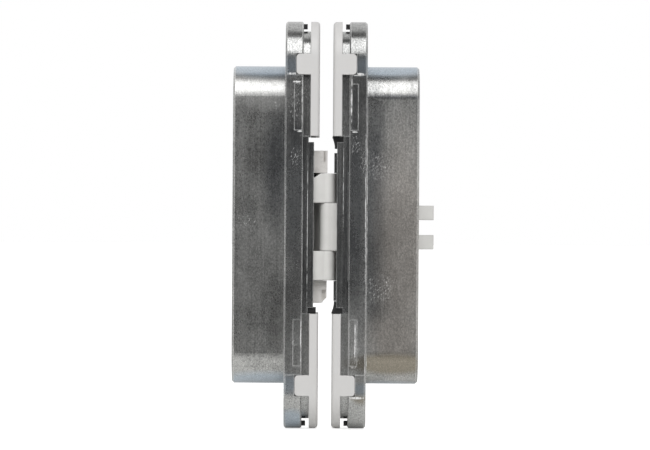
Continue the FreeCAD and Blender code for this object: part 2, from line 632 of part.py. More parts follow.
def carrier(side):
    sill = size("flange_depth") + size("carrier_sill")
    face = sill + size(f"{side}_carrier_rise")
    floor = face - size("carrier_depth")
    half = carrier_width / 2
    mouth = half - size("carrier_rail")
    long_half = size("cover_gap") / 2 - size("carrier_air")
    face_half = size("carrier_face") / 2
    lug_reach = size(f"{side}_lug_reach")

    def local(x_low, x_high, y_low, y_high, low, high):
        """A block given in the side's own frame, put where the closed hinge has it."""
        if side == "frame":
            return block(x_low, x_high, y_low, y_high, low, high)
        return block(2 * mid - x_high, 2 * mid - x_low, y_low, y_high, low, high)

    body = local(floor, sill, -half, half, -long_half, long_half)
    body = body.fuse(local(sill, face, -half, half, -face_half, face_half))
    # Room for the arms, with a rail left on the near side and a deeper wall on the opening side
    body = body.cut(local(floor - 1, face - size("rail_depth"), -half - 1, mouth,
                          arm_z - lug_low, arm_z + lug_low))
    body = body.cut(local(floor - 1, face + 1, -mouth, mouth, arm_z - lug_low, arm_z + lug_low))
    body = body.cut(local(face - size("arm_notch"), face + 1, 0, half + 1,
                          arm_z - lug_low, arm_z + lug_low))
    # Lugs round the pivot pins, and tongues under the covers
    pivot = frame_pivot if side == "frame" else door_pivot
    for end in (1, -1):
        low, high = arm_z + lug_low, arm_z + lug_high[side]
        if end < 0:
            low, high = arm_z - lug_high[side], arm_z - lug_low
        lug = local(face - 1, face + lug_reach, -size("lug_near"), half, low, high)
        x_edge = face + lug_reach if side == "frame" else 2 * mid - face - lug_reach
        lug = rounded_ends(lug, size(f"{side}_lug_corner"), [(x_edge, half)])
        body = body.fuse(lug)
        body = body.cut(disc(pivot, size("pivot_pin") + size("pin_fit"), low - SLIVER, high + SLIVER))
        if side == "frame":
            body = body.cut(lug_mark(end, x_edge, low, high))
        tongue_low = long_half - 1
        tongue_high = long_half + size("tongue_reach")
        if end < 0:
            tongue_low, tongue_high = -tongue_high, -tongue_low
        tongue_base = size("tray_floor")
        tongue = local(tongue_base, tongue_base + size("tongue_depth"), -size("tongue_width") / 2,
                       size("tongue_width") / 2, tongue_low, tongue_high)
        body = body.fuse(tongue)
        for place, radius in (("clamp_place", size("clamp_shank") + size("clamp_air")),
                              ("lift_place", size("lift_radius") + size("pin_fit"))):
            x_start = tongue_base - 1 if side == "frame" else 2 * mid - tongue_base + 1
            way = Vector(1, 0, 0) if side == "frame" else Vector(-1, 0, 0)
            hole = Part.makeCylinder(radius, size("tongue_depth") + 2,
                                     Vector(x_start, 0, end * size(place)), way)
            body = body.cut(hole)
    if side == "frame":
        # The tracks of the outer arms' tail pin
        path = outer_tail_path(outer_tail)
        radius = size("slider_pin") + size("track_air")
        for end in (1, -1):
            low, high = arm_z + lug_low, arm_z + lug_low + size("track_depth")
            if end < 0:
                low, high = -high + 2 * arm_z, -low + 2 * arm_z
            body = body.cut(track(path, radius, low - SLIVER * (end > 0), high + SLIVER * (end < 0)))
    return feature(f"{side}_carrier", body)


def guide_rib():
    """The cam rib that stands on the floor of the door side between the tails of the middle arm."""
    low, high = arm_z - size("rib_half"), arm_z + size("rib_half")
    back = 2 * mid + size("box_depth") - size("back_wall")
    front = back - size("rib_length")
    bottom = size("rib_air") - well_width / 2
    rib = block(front, back, bottom, size("rib_top"), low, high)
    corners = [(front, bottom), (front, size("rib_top"))]
    rib = rounded_ends(rib, size("rib_round"), corners)
    path = middle_tail_path(middle_slider)
    rib = rib.cut(track(path, size("slider_pin") + size("track_air"), low - 1, high + 1))
    return feature("door_guide_rib", rib)


def end_pad():
    """The black stop in the gap below the frame side's raised face."""
    body = new_body("frame_end_pad")
    sill = "flange_depth + carrier_sill"
    place = ("0", "carrier_air + pad_length / 2 - cover_gap / 2", sill)
    solid(body, "Pad", "stop", box_sketch(body, "stop_outline", "YZ_Plane", place, "pad_width",
                                          "pad_length"), "pad_rise")
    doc.recompute()
    dress(body, "Fillet", "soft_corners", "pad_length / 6",
          lambda b: b.XLength > 1 and b.YLength < 1e-4 and b.ZLength < 1e-4, "Radius")


def end_ramp(end):
    """The black ramp at one end of the door side's raised face, hollow towards the arms."""
    sill = size("flange_depth") + size("carrier_sill")
    face = sill + size("door_carrier_rise")
    outer = size("cover_gap") / 2 - size("carrier_air")
    step = size("carrier_face") / 2
    inner = outer - size("ramp_length")
    crest = face + size("ramp_rise")
    toe = face + size("ramp_foot")
    half = size("pad_width") / 2

    def at(depth, height):
        return Vector(2 * mid - depth, -half, end * height)

    corners = [at(toe, inner), at(face, inner), at(face, step), at(sill, step), at(sill, outer),
               at(crest, outer)]
    edges = [Part.makeLine(a, b) for a, b in zip(corners, corners[1:])]
    bend = at((toe * 3 + crest) / 4, (inner + outer) / 2)
    edges.append(Part.Arc(corners[-1], bend, corners[0]).toShape())
    ramp = Part.Face(Part.Wire(edges)).extrude(Vector(0, 2 * half, 0))
    feature(f"door_end_ramp_{'top' if end > 0 else 'bottom'}", ramp)


def along_side(piece, side, depth, height, shift="0"):
    """Turns a piece made along +Z to point out of a side's face, with its foot at a depth."""
    turn = 90 if side == "frame" else -90
    piece.Placement = FreeCAD.Placement(Vector(0, 0, 0), FreeCAD.Rotation(Vector(0, 1, 0), turn))
    text = depth if side == "frame" else f"2 * {MID} - ( {depth} )"
    piece.setExpression("Placement.Base.x", cell(text))
    piece.setExpression("Placement.Base.y", cell(shift))
    piece.setExpression("Placement.Base.z", cell(height))
    parts.append(piece)


def round_bar(name, radius, length, foot="0", shift="0"):
    bar = doc.addObject("Part::Cylinder", name)
    bar.setExpression("Radius", cell(radius))
    bar.setExpression("Height", cell(length))
    bar.setExpression("Placement.Base.z", cell(foot))
    bar.setExpression("Placement.Base.x", cell(shift))
    return bar


def socketed(label, bars, top):
    """Bars on one axis fused, with a hexagon socket in the top."""
    joined = doc.addObject("Part::MultiFuse", label + "_solid")
    joined.Shapes = bars
    key = doc.addObject("Part::Prism", label + "_socket")
    key.Polygon = 6
    key.setExpression("Circumradius", cell("socket_size"))
    key.setExpression("Height", cell("socket_depth + 1"))
    key.setExpression("Placement.Base.z", cell(f"{top} - socket_depth"))
    piece = doc.addObject("Part::Cut", label)
    piece.Label = label
    piece.Base, piece.Tool = joined, key
    return piece


def clamp_screw(side, end):
    """Holds the carrier's tongue down on the floor of the tray."""
    label = f"{side}_clamp_screw_{'top' if end > 0 else 'bottom'}"
    shank = round_bar(label + "_shank", "clamp_shank - pin_fit", "clamp_tip + tongue_depth")
    head = round_bar(label + "_head", "clamp_head", "clamp_rise", "clamp_tip + tongue_depth")
    piece = socketed(label, [shank, head], "clamp_tip + tongue_depth + clamp_rise")
    along_side(piece, side, "tray_floor - clamp_tip", f"{end} * clamp_place")


def lift_eccentric(side, end):
    """Turns in the tongue; its offset stub stands in the housing and shifts the carrier."""
    label = f"{side}_eccentric_{'top' if end > 0 else 'bottom'}"
    wheel = round_bar(label + "_wheel", "lift_radius", "tongue_depth + lift_rise", "lift_tip")
    stub = round_bar(label + "_stub", "lift_stub - pin_fit", "lift_tip + 1", "0", "lift_offset")
    piece = socketed(label, [wheel, stub], "lift_tip + tongue_depth + lift_rise")
    along_side(piece, side, "tray_floor - lift_tip", f"{end} * lift_place")


def cover_latch(side, end):
    """The black latch at a plate's tip that the cover snaps over."""
    label = f"{side}_cover_latch_{'top' if end > 0 else 'bottom'}"
    piece = doc.addObject("Part::Box", label)
    piece.setExpression("Length", cell("latch_rise"))
    piece.setExpression("Width", cell("latch_width"))
    piece.setExpression("Height", cell("latch_height"))
    foot = "flange_depth" if side == "frame" else f"2 * {MID} - flange_depth - latch_rise"
    low = "plate_length / 2 - latch_inset - latch_height"
    if end < 0:
        low = "latch_inset - plate_length / 2"
    piece.setExpression("Placement.Base.x", cell(foot))
    piece.setExpression("Placement.Base.y", cell("0 - latch_width / 2"))
    piece.setExpression("Placement.Base.z", cell(low))
    parts.append(piece)


carrier("frame")
carrier("door")
guide_rib()
end_pad()
for end in (1, -1):
    end_ramp(end)
    for side in SIDES:
        clamp_screw(side, end)
        lift_eccentric(side, end)
        cover_latch(side, end)

doc.recompute()
print("middle arm turns", math.degrees(middle_turn), "outer arms turn", math.degrees(outer_turn))
print("frame pivot", frame_pivot, "centre", centre, "door pivot", door_pivot)


def faults():
    found = []
    for item in doc.Objects:
        if any(word in item.State for word in ("Invalid", "Error")):
            found.append(f"{item.Label}: {item.State}")
    for piece in parts:
        if piece.Shape.isNull() or not piece.Shape.isValid():
            found.append(f"{piece.Label}: its shape is not valid")
    return found


problems = faults()
if problems:
    raise RuntimeError("; ".join(problems))

os.makedirs("parts", exist_ok=True)
for piece in parts:
    piece.Shape.exportStep(os.path.join("parts", piece.Label + ".step"))
    print(piece.Label, round(piece.Shape.Volume, 1), len(piece.Shape.Solids))
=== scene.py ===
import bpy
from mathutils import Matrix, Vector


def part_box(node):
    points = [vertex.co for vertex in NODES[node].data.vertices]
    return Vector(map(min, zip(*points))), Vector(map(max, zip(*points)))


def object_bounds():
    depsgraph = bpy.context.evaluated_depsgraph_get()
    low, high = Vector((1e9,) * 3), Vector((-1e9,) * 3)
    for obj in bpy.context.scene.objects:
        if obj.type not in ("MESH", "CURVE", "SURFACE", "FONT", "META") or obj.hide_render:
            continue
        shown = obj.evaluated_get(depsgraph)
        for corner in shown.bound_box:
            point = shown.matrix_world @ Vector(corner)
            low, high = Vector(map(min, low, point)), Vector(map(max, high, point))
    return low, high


bl_info = {
    "name": "Concealed Hinge Finish",
    "version": (1, 1, 0),
    "blender": (4, 5, 0),
    "location": "View3D > Sidebar > Hinge",
    "description": "Gives the concealed hinge its castings, paint, pins, plastic parts and stage",
    "category": "Object",
}

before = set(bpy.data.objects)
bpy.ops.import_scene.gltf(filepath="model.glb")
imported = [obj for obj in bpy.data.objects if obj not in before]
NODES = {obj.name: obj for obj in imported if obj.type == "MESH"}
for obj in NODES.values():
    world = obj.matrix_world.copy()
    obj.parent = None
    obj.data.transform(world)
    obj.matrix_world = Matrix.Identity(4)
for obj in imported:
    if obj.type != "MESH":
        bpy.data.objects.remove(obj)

import math

import bmesh
import bpy
from bpy.props import FloatProperty, FloatVectorProperty, PointerProperty
from mathutils import Vector

CAD_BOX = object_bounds()
MM = 0.001

# The gap's middle along X, and how far from it the plates and the pivot lugs reach. The frame
# side's plate has its back at X = 0.
GAP_MIDDLE = (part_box("frame_cover_top")[1][0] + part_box("door_cover_top")[0][0]) / 2
PLATE_REACH = GAP_MIDDLE
LUG_REACH = 4.7 * MM

# Half the width over which one finish on a casting turns into the next
BORDER = 0.05 * MM

# A mark in the plating fades out between these shares of its half sizes
MARK_FADE = (0.5, 1.2)

# It is missing where the first share of a face's normal lies along X, and full at the second
MARK_FACING = (0.95, 0.5)

# The cosine between a face and the rounding of its edge, where the worn edge and its painted
# highlight begin and where they are full
EDGE_BEND = (0.995, 0.90)
BEVEL_SAMPLES = 6

# Marks in the plating: each one's middle and half sizes along X and Z, in millimetres.
# Nicks and fine scratches
NICKS = ((-3.5, 46.5, 2.6, 2.6), (4.2, 26.5, 3.2, 4.5), (-17.7, -19, 1.6, 3.6),
         (36, 23, 8.5, 8.5), (36.5, -25, 8.5, 8.5), (-15, 1, 5, 4), (28, -52, 2, 8),
         (27.6, 31, 2.4, 5), (4.5, -43, 2.4, 8), (4, 46, 3, 8))

# Dull blue-grey marks: dark patches on the plates, painted shade on the boxes beside the plates, and
# thin painted dark lines across the boxes' rounded tops where their reflection changes
SMUDGES_AND_SHADE = ((4, 14, 4.5, 32), (27.6, 8, 4, 44), (-3, 22, 6, 26), (35, 6, 5, 50),
           (43, 50.1, 14, 1.1), (-8, 58.8, 14, 0.9), (4.5, 37, 3.5, 2.5))

# Lighter spots of painted light (a strip along the frame box's back edge, a softer lower edge to its
# top highlight band, the lower plates), warmer painted light on the door box, and plating that is
# hazy and scatters more light
PAINTED_LIGHT_SPOTS = ((-17, -10, 3, 66), (-8, 50, 12, 7), (16, -46, 18, 24))
WARM_PAINTED_LIGHT = ((46, -8, 11, 50), (44, -44, 12, 14))
HAZE = ((-8, 54, 16, 9), (51, -2, 13, 66), (18, -46, 22, 24), (44, -44, 12, 16))

# Straw and blue tints of the passivation, laid on the boxes' and plates' rounded ends, where they
# also stand as painted reflections of the floor and room
STRAW_AND_PAINTED_REFLECTION = ((42, -54, 18, 4.2), (31, -66, 5, 4))
BLUE_AND_PAINTED_REFLECTION = ((-8, 62, 18, 4.5), (40, 62, 18, 4.5), (-8, -62, 20, 4.5), (40, -64, 18, 3.0),
        (3, -76, 6, 4))

# Ledges and corners rubbed down to pale zinc, and fine lines along the carriers, which also stand as
# painted highlight lines where edges catch the light
RUBBED_AND_HIGHLIGHT_LINES = ((4.5, 55.8, 2.5, 0.6), (3.5, 58.9, 5.5, 0.7), (28.6, 58.7, 5.0, 0.9),
          (28.6, -67.4, 5.0, 0.7), (6.7, 48, 0.5, 15), (6.7, -46, 0.5, 16),
          (25.9, 48, 0.4, 15), (27.8, -46, 0.4, 12), (31.9, 8, 0.7, 68), (31.9, -55, 0.7, 8),
          (5.6, 36.5, 1.8, 0.5), (27.4, 36.3, 1.8, 0.5), (27.3, -55.6, 1.6, 0.5),
          (8.9, -3, 0.22, 46), (7.0, -3, 0.2, 46), (22.9, 14, 0.2, 24))


def linear(code):
    """The linear colour of an sRGB hex code such as #D6D4D2."""
    shares = [int(code[at:at + 2], 16) / 255 for at in (1, 3, 5)]
    return tuple(s / 12.92 if s <= 0.04045 else ((s + 0.055) / 1.055) ** 2.4 for s in shares)


def colour_of(name, description, code):
    """A colour that a user can change, with an sRGB hex code as its default."""
    return FloatVectorProperty(name=name, description=description, subtype="COLOR", size=3,
                               min=0, max=1, default=linear(code))


class HingeFinish(bpy.types.PropertyGroup):
    """Colours of the hinge's finishes, and of the light, shade and reflections painted on them"""
    plating_dark: colour_of("Plating, dark", "Bright zinc plating where it is dull", "#7B7B7A")
    # Also laid on as painted light in the lighter spots
    plating_light: colour_of("Plating, light", "Bright zinc plating where it is clear", "#CDCDCB")
    # Painted warm light on the door side's box
    painted_warm_light: colour_of("Plating, warm", "Plating that yellowed a little", "#D6CEC6")
    # Also a painted reflection on the boxes' lower rounded ends
    straw_tint_and_reflection: colour_of("Plating, straw", "Warm tint of the clear passivation", "#8F887A")
    # Also a painted reflection on the rounded ends
    blue_tint_and_reflection: colour_of("Plating, blue", "Cold tint of the clear passivation", "#B2BEC9")
    line_light: colour_of("Lines, light", "Bright lines where the die was polished", "#E2E3E2")
    line_dark: colour_of("Lines, dark", "Dark lines where the die was polished", "#4A4B4B")
    # Dark patches, partly painted shade beside the plates and painted dark reflection lines
    smudge_and_shade: colour_of("Smudges", "Dull blue-grey smudges on the plating", "#3E444E")
    # Also the pale painted highlight lines along edges and ledges
    worn_zinc_and_edge_highlight: colour_of("Worn zinc", "Pale zinc on nicks and worn edges", "#F4F4F3")
    # Painted shade: darker plating laid on the plates and carriers, which sit recessed near the gap
    painted_recess_shade: colour_of("Ground zinc", "Darker plating on ground and polished faces", "#6C6F72")
    # Drawn paler than blasted zinc is: painted light that offsets the shade the lugs sit in
    casting: colour_of("Blasted zinc", "Blasted zinc of the lugs and the guide rib", "#F4F1ED")
    lug_blotch: colour_of("Lugs, blotches", "Duller blotches on the blasted lugs", "#BDB8B2")
    lug_edge: colour_of("Lugs, edges", "Worn edges of the blasted lugs", "#F0EEEA")
    rib_blotch: colour_of("Rib, blotches", "Duller blotches on the guide rib", "#96918B")
    rib_edge: colour_of("Rib, edges", "Worn edges of the guide rib", "#E4E2DE")
    cover_paint: colour_of("Cover paint", "Pale warm grey powder coat of the covers", "#C7C6C5")
    cover_shade: colour_of("Cover paint, shade", "Faint clouds in the covers' coat", "#C6C4C2")
    arm_paint: colour_of("Arm paint", "Pale grey powder coat of the arms", "#DAD9D6")
    arm_shade: colour_of("Arm paint, shade", "Faint clouds in the arms' coat", "#C4C4C0")
    steel: colour_of("Steel", "Ground steel of the pins", "#B4B4B2")
    steel_rings: colour_of("Steel, rings", "Grinding rings round the pins", "#8C8D8D")
    screw_zinc: colour_of("Screws", "Bluish zinc of the screws where it is dull", "#A7ACB0")
    plastic: colour_of("Plastic", "Black acetal of the stops, ramps and latches", "#1B1B1C")
    plastic_grain: colour_of("Plastic, grain", "Paler grain of the acetal", "#2C2C2D")


class HingeStage(bpy.types.PropertyGroup):
    """Camera, floor and lamps"""
    view_width: FloatProperty(
        name="View width", description="Width that the picture shows at the hinge's middle",
        unit="LENGTH", min=0.05, default=0.2561)
    view_shift: FloatProperty(
        name="View centre", description="How far the picture's centre lies to the left of the gap",
        unit="LENGTH", default=0.00024)
    lens: FloatProperty(name="Lens", description="Focal length in millimetres", min=20, default=180)
    roll: FloatProperty(
        name="Roll", description="How far the hinge's top leans to the right in the picture",
        unit="ROTATION", default=math.radians(0.38))
    floor_size: FloatProperty(
        name="Floor size", description="Side of the square floor", unit="LENGTH", min=1, default=12)
    floor_front: FloatProperty(
        name="Floor front", description="How far the floor reaches in front of the hinge",
        unit="LENGTH", min=0.15, default=0.16)
    floor_drop: FloatProperty(
        name="Floor drop", description="How far the floor lies below the hinge",
        unit="LENGTH", min=0, default=0.3 * MM)
    floor_colour: colour_of("Floor", "Pale paper that the hinge stands on", "#F4F4F2")
    floor_fibre: colour_of("Floor, fibres", "Darker fibres of the paper", "#EEEEEC")
    key_power: FloatProperty(name="Soft box", description="Power in watts", min=0, default=10)
    key_ahead: FloatProperty(
        name="Soft box, distance", description="How far it hangs in front of the hinge",
        unit="LENGTH", min=0.3, default=0.92)
    key_height: FloatProperty(
        name="Soft box, height", description="How far it hangs above the hinge's middle",
        unit="LENGTH", default=0.77)
    key_width: FloatProperty(
        name="Soft box, width", description="Its side from left to right",
        unit="LENGTH", min=0.1, default=1.1)
    key_length: FloatProperty(
        name="Soft box, length", description="Its side from bottom to top",
        unit="LENGTH", min=0.1, default=1.05)
    ambient: FloatProperty(
        name="Ambient light", description="Strength of the light from behind", min=0, default=0.32)
    ambient_front: FloatProperty(
        name="Ambient light, front", description="Strength of the light from the camera's side",
        min=0, default=0.70)
    front_dark: FloatProperty(
        name="Camera side", description="How bright the unlit side of the studio is in a reflection",
        min=0, default=0.10)
    side_walls: FloatProperty(
        name="Side walls", description="How bright the studio's side walls are in a reflection",
        min=0, default=0.6)


def fill(tree, item, inputs):
    """Sets a node's inputs: a socket is linked, and anything else is the input's own value."""
    for name, value in inputs.items():
        if isinstance(value, bpy.types.NodeSocket):
            tree.links.new(value, item.inputs[name])
        elif item.inputs[name].type == "RGBA":
            item.inputs[name].default_value = (*value[:3], 1)
        else:
            item.inputs[name].default_value = value


def add(tree, kind, inputs=None, out=0, **settings):
    """Adds a node with its settings and inputs, and gives back one of its outputs."""
    item = tree.nodes.new(kind)
    for name, value in settings.items():
        setattr(item, name, value)
    fill(tree, item, inputs or {})
    return item.outputs[out]


def new_material(name):
    """A new material, its tree and its shader."""
    material = bpy.data.materials.new(name)
    material.use_nodes = True
    tree = material.node_tree
    return material, tree, tree.nodes["Principled BSDF"]


def spotted(tree, size_mm, stretch=(1, 1, 1), turn=0.0, detail=3.0, rough=0.5):
    """Noise whose blotches are about size_mm across, drawn out along axes turned about Y."""
    place = add(tree, "ShaderNodeTexCoord", out="Object")
    place = add(tree, "ShaderNodeMapping",
                {"Vector": place, "Rotation": (0, math.radians(turn), 0),
                 "Scale": [size_mm * MM * share for share in stretch]}, vector_type="TEXTURE")
    return add(tree, "ShaderNodeTexNoise",
               {"Vector": place, "Scale": 1.0, "Detail": detail, "Roughness": rough})


def laid_over(tree, under, colour, pattern, low=0.0, high=1.0, most=1.0):
    """Lays a colour over another where a pattern rises from low to high, at most by a share."""
    share = add(tree, "ShaderNodeMapRange",
                {"Value": pattern, "From Min": low, "From Max": high, "To Max": most})
    return add(tree, "ShaderNodeMix", {0: share, 6: under, 7: colour}, out=2, data_type="RGBA")


def patch(tree, spots):
    """1 inside some ovals on the faces that look sideways, up or down, and 0 on those along X.

    Each oval is given by its middle and its half sizes along X and Z, in millimetres.
    """
    inside = None
    for x, z, half_x, half_z in spots:
        place = add(tree, "ShaderNodeTexCoord", out="Object")
        place = add(tree, "ShaderNodeMapping",
                    {"Vector": place, "Scale": (1 / (half_x * MM), 0, 1 / (half_z * MM)),
                     "Location": (-x / half_x, 0, -z / half_z)})
        away = add(tree, "ShaderNodeVectorMath", {0: place}, out="Value", operation="LENGTH")
        spot = add(tree, "ShaderNodeMapRange",
                   {"Value": away, "From Min": MARK_FADE[0], "From Max": MARK_FADE[1],
                    "To Min": 1, "To Max": 0})
        if inside is None:
            inside = spot
        else:
            inside = add(tree, "ShaderNodeMath", {0: inside, 1: spot}, operation="MAXIMUM")
    facing = add(tree, "ShaderNodeTexCoord", out="Normal")
    facing = add(tree, "ShaderNodeSeparateXYZ", {"Vector": facing})
    facing = add(tree, "ShaderNodeMath", {0: facing}, operation="ABSOLUTE")
    facing = add(tree, "ShaderNodeMapRange",
                 {"Value": facing, "From Min": MARK_FACING[0], "From Max": MARK_FACING[1]})
    return add(tree, "ShaderNodeMath", {0: inside, 1: facing}, operation="MULTIPLY")


def edge_share(tree, radius_mm):
    """Near 1 on a convex or concave edge, and 0 on a flat."""
    soft = add(tree, "ShaderNodeBevel", {"Radius": radius_mm * MM}, samples=BEVEL_SAMPLES)
    sharp = add(tree, "ShaderNodeNewGeometry", out="True Normal")
    along = add(tree, "ShaderNodeVectorMath", {0: soft, 1: sharp}, out="Value",
                operation="DOT_PRODUCT")
    return add(tree, "ShaderNodeMapRange",
               {"Value": along, "From Min": EDGE_BEND[0], "From Max": EDGE_BEND[1]})


def relief(tree, layers, round_mm=0.0):
    """A normal with heights in millimetres, one over the other, on edges rounded by a radius."""
    normal = None
    if round_mm:
        normal = add(tree, "ShaderNodeBevel", {"Radius": round_mm * MM}, samples=BEVEL_SAMPLES)
    for height, depth_mm in layers:
        inputs = {"Height": height, "Strength": 1.0, "Distance": depth_mm * MM}
        if normal is not None:
            inputs["Normal"] = normal
        normal = add(tree, "ShaderNodeBump", inputs)
    return normal


def near_gap(tree, reach):
    """1 where a point lies nearer to the gap's middle than a reach along X, and 0 beyond it."""
    place = add(tree, "ShaderNodeTexCoord", out="Object")
    across = add(tree, "ShaderNodeSeparateXYZ", {"Vector": place})
    across = add(tree, "ShaderNodeMath", {0: across, 1: GAP_MIDDLE}, operation="SUBTRACT")
    across = add(tree, "ShaderNodeMath", {0: across}, operation="ABSOLUTE")
    return add(tree, "ShaderNodeMapRange",
               {"Value": across, "From Min": reach - BORDER, "From Max": reach + BORDER,
                "To Min": 1, "To Max": 0})


def tints_and_painted_light(tree, colours, body):
    """Smudges and passivation tints laid on the plating place by place, together with painted shade,
    painted light and painted reflections.
    """
    # Smudges with painted shade, then painted light, then passivation tints with painted reflections
    for colour, spots, high, most in ((colours.smudge_and_shade, SMUDGES_AND_SHADE, 1.0, 0.5),
                                      (colours.plating_light, PAINTED_LIGHT_SPOTS, 1.0, 0.5),
                                      (colours.painted_warm_light, WARM_PAINTED_LIGHT, 1.0, 0.5),
                                      (colours.straw_tint_and_reflection, STRAW_AND_PAINTED_REFLECTION, 0.7, 0.85),
                                      (colours.blue_tint_and_reflection, BLUE_AND_PAINTED_REFLECTION, 0.8, 0.75)):
        body = laid_over(tree, body, colour, patch(tree, spots), high=high, most=most)
    return body


def wear(tree):
    """How far the plating is worn on its edges, nicks and rubbed marks, and its nicks alone. The pale
    worn edges and rubbed lines are also painted highlights along the edges.
    """
    nicks = spotted(tree, 0.42, stretch=(1, 1, 2.6), turn=24, detail=3.0, rough=0.6)
    nicks = add(tree, "ShaderNodeMath", {0: patch(tree, NICKS), 1: 0.152, 2: nicks},
                operation="MULTIPLY_ADD")
    nicks = add(tree, "ShaderNodeMapRange",
                {"Value": nicks, "From Min": 0.69, "From Max": 0.85, "To Max": 0.65})
    ragged = spotted(tree, 1.2, stretch=(1, 1, 2.5), detail=5.0, rough=0.75)
    # Painted highlight lines, drawn as rubbed pale zinc
    rubbed = add(tree, "ShaderNodeMath", {0: patch(tree, RUBBED_AND_HIGHLIGHT_LINES), 1: ragged}, operation="MULTIPLY")
    rubbed = add(tree, "ShaderNodeMapRange", {"Value": rubbed, "From Min": 0.36, "From Max": 0.52})
    ragged = add(tree, "ShaderNodeMapRange",
                 {"Value": ragged, "From Min": 0.38, "From Max": 0.62, "To Min": 0.4, "To Max": 0.85})
    # Worn edges, pale and matt, which also stand as painted highlights along the edges
    worn = add(tree, "ShaderNodeMath", {0: edge_share(tree, 0.45), 1: ragged},
               operation="MULTIPLY")
    worn = add(tree, "ShaderNodeMath", {0: worn, 1: nicks}, operation="MAXIMUM")
    worn = add(tree, "ShaderNodeMath", {0: worn, 1: rubbed}, operation="MAXIMUM")
    return worn, nicks


def plating(tree, colours, streaks):
    """Colour, change of roughness, metallic and relief of bright zinc plating on a die casting.

    The die's own surface shows through: a fine satin grain with faint upright lines where it was
    polished, tints in the passivation, and worn edges and nicks that scatter light. Painted light
    is laid on too: lighter and warmer spots, painted reflections in the tints on the rounded ends,
    painted shade on the boxes beside the plates, and pale painted highlight lines along the edges.
    Grain and lines are finer on the real casting, and are drawn as coarse as they need to be to show.
    """
    patches = spotted(tree, 24, stretch=(1, 1, 1.7), detail=4.0, rough=0.55)
    grain = spotted(tree, 0.4, stretch=(1, 1, 1.5), detail=4.0, rough=0.6)
    lines = spotted(tree, 0.6, stretch=(1, 1, 60), detail=3.0, rough=0.6)
    body = laid_over(tree, colours.plating_dark, colours.plating_light, grain, 0.2, 0.8)
    body = laid_over(tree, body, colours.plating_light, patches, 0.44, 0.64, 0.6)
    body = laid_over(tree, body, colours.plating_dark, patches, 0.52, 0.34, 0.6)
    body = laid_over(tree, body, colours.line_light, lines, 0.52, 0.70, streaks)
    body = laid_over(tree, body, colours.line_dark, lines, 0.48, 0.30, streaks)
    body = tints_and_painted_light(tree, colours, body)
    speckle = add(tree, "ShaderNodeMapRange",
                  {"Value": grain, "From Min": 0.3, "From Max": 0.7, "To Min": 0.75, "To Max": 1.25})
    body = add(tree, "ShaderNodeMix", {0: 1.0, 6: body, 7: speckle}, out=2, data_type="RGBA",
               blend_type="MULTIPLY")
    worn, nicks = wear(tree)
    # Pale worn zinc, also the painted highlight lines along edges and ledges
    body = laid_over(tree, body, colours.worn_zinc_and_edge_highlight, worn)
    change = add(tree, "ShaderNodeMapRange",
                 {"Value": grain, "From Min": 0.3, "From Max": 0.7, "To Min": -0.010,
                  "To Max": 0.015})
    clouds = add(tree, "ShaderNodeMapRange",
                 {"Value": patches, "From Min": 0.35, "From Max": 0.65, "To Min": -0.02,
                  "To Max": 0.03})
    change = add(tree, "ShaderNodeMath", {0: change, 1: clouds}, operation="ADD")
    change = add(tree, "ShaderNodeMath", {0: patch(tree, HAZE), 1: 0.07, 2: change},
                 operation="MULTIPLY_ADD")
    metallic = add(tree, "ShaderNodeMapRange", {"Value": worn, "To Min": 1.0, "To Max": 0.1})
    return body, change, metallic, [(grain, 0.004), (lines, 0.004), (nicks, 0.02)]


def zinc_plated_casting(colours):
    """Die-cast zinc in bright plating: the box is satin, and the plate was polished smoother and is
    darkened a little by painted shade near the gap.
    """
    material, tree, shader = new_material("zinc_plated_casting")
    body, change, metallic, layers = plating(tree, colours, streaks=0.22)
    plate = near_gap(tree, PLATE_REACH)
    # Painted shade: the plate, recessed near the gap, is darkened a little
    body = laid_over(tree, body, colours.painted_recess_shade, plate, most=0.2)
    rough = add(tree, "ShaderNodeMapRange", {"Value": plate, "To Min": 0.28, "To Max": 0.25})
    rough = add(tree, "ShaderNodeMath", {0: rough, 1: change}, operation="ADD")
    fill(tree, shader, {"Base Color": body, "Roughness": rough, "Metallic": metallic,
                        "Normal": relief(tree, layers)})
    return material


def carrier_plating(tree, colours):
    """The same plating on a carrier, whose face is ground along its length, with stronger lines and a
    painted shade that darkens it where it sits recessed.
    """
    body, change, metallic, layers = plating(tree, colours, streaks=0.9)
    # Painted shade: the recessed carrier is mixed well towards the darker plating
    body = add(tree, "ShaderNodeMix", {0: 0.45, 6: body, 7: colours.painted_recess_shade}, out=2,
               data_type="RGBA")
    rough = add(tree, "ShaderNodeMath", {0: change, 1: 0.21}, operation="ADD")
    return body, rough, metallic, layers


def zinc_plated_carrier(colours):
    """Die-cast zinc carrier, plated all over: satin with upright grinding lines, darkened by painted
    shade.
    """
    material, tree, shader = new_material("zinc_plated_carrier")
    body, rough, metallic, layers = carrier_plating(tree, colours)
    fill(tree, shader, {"Base Color": body, "Roughness": rough, "Metallic": metallic,
                        "Normal": relief(tree, layers)})
    return material


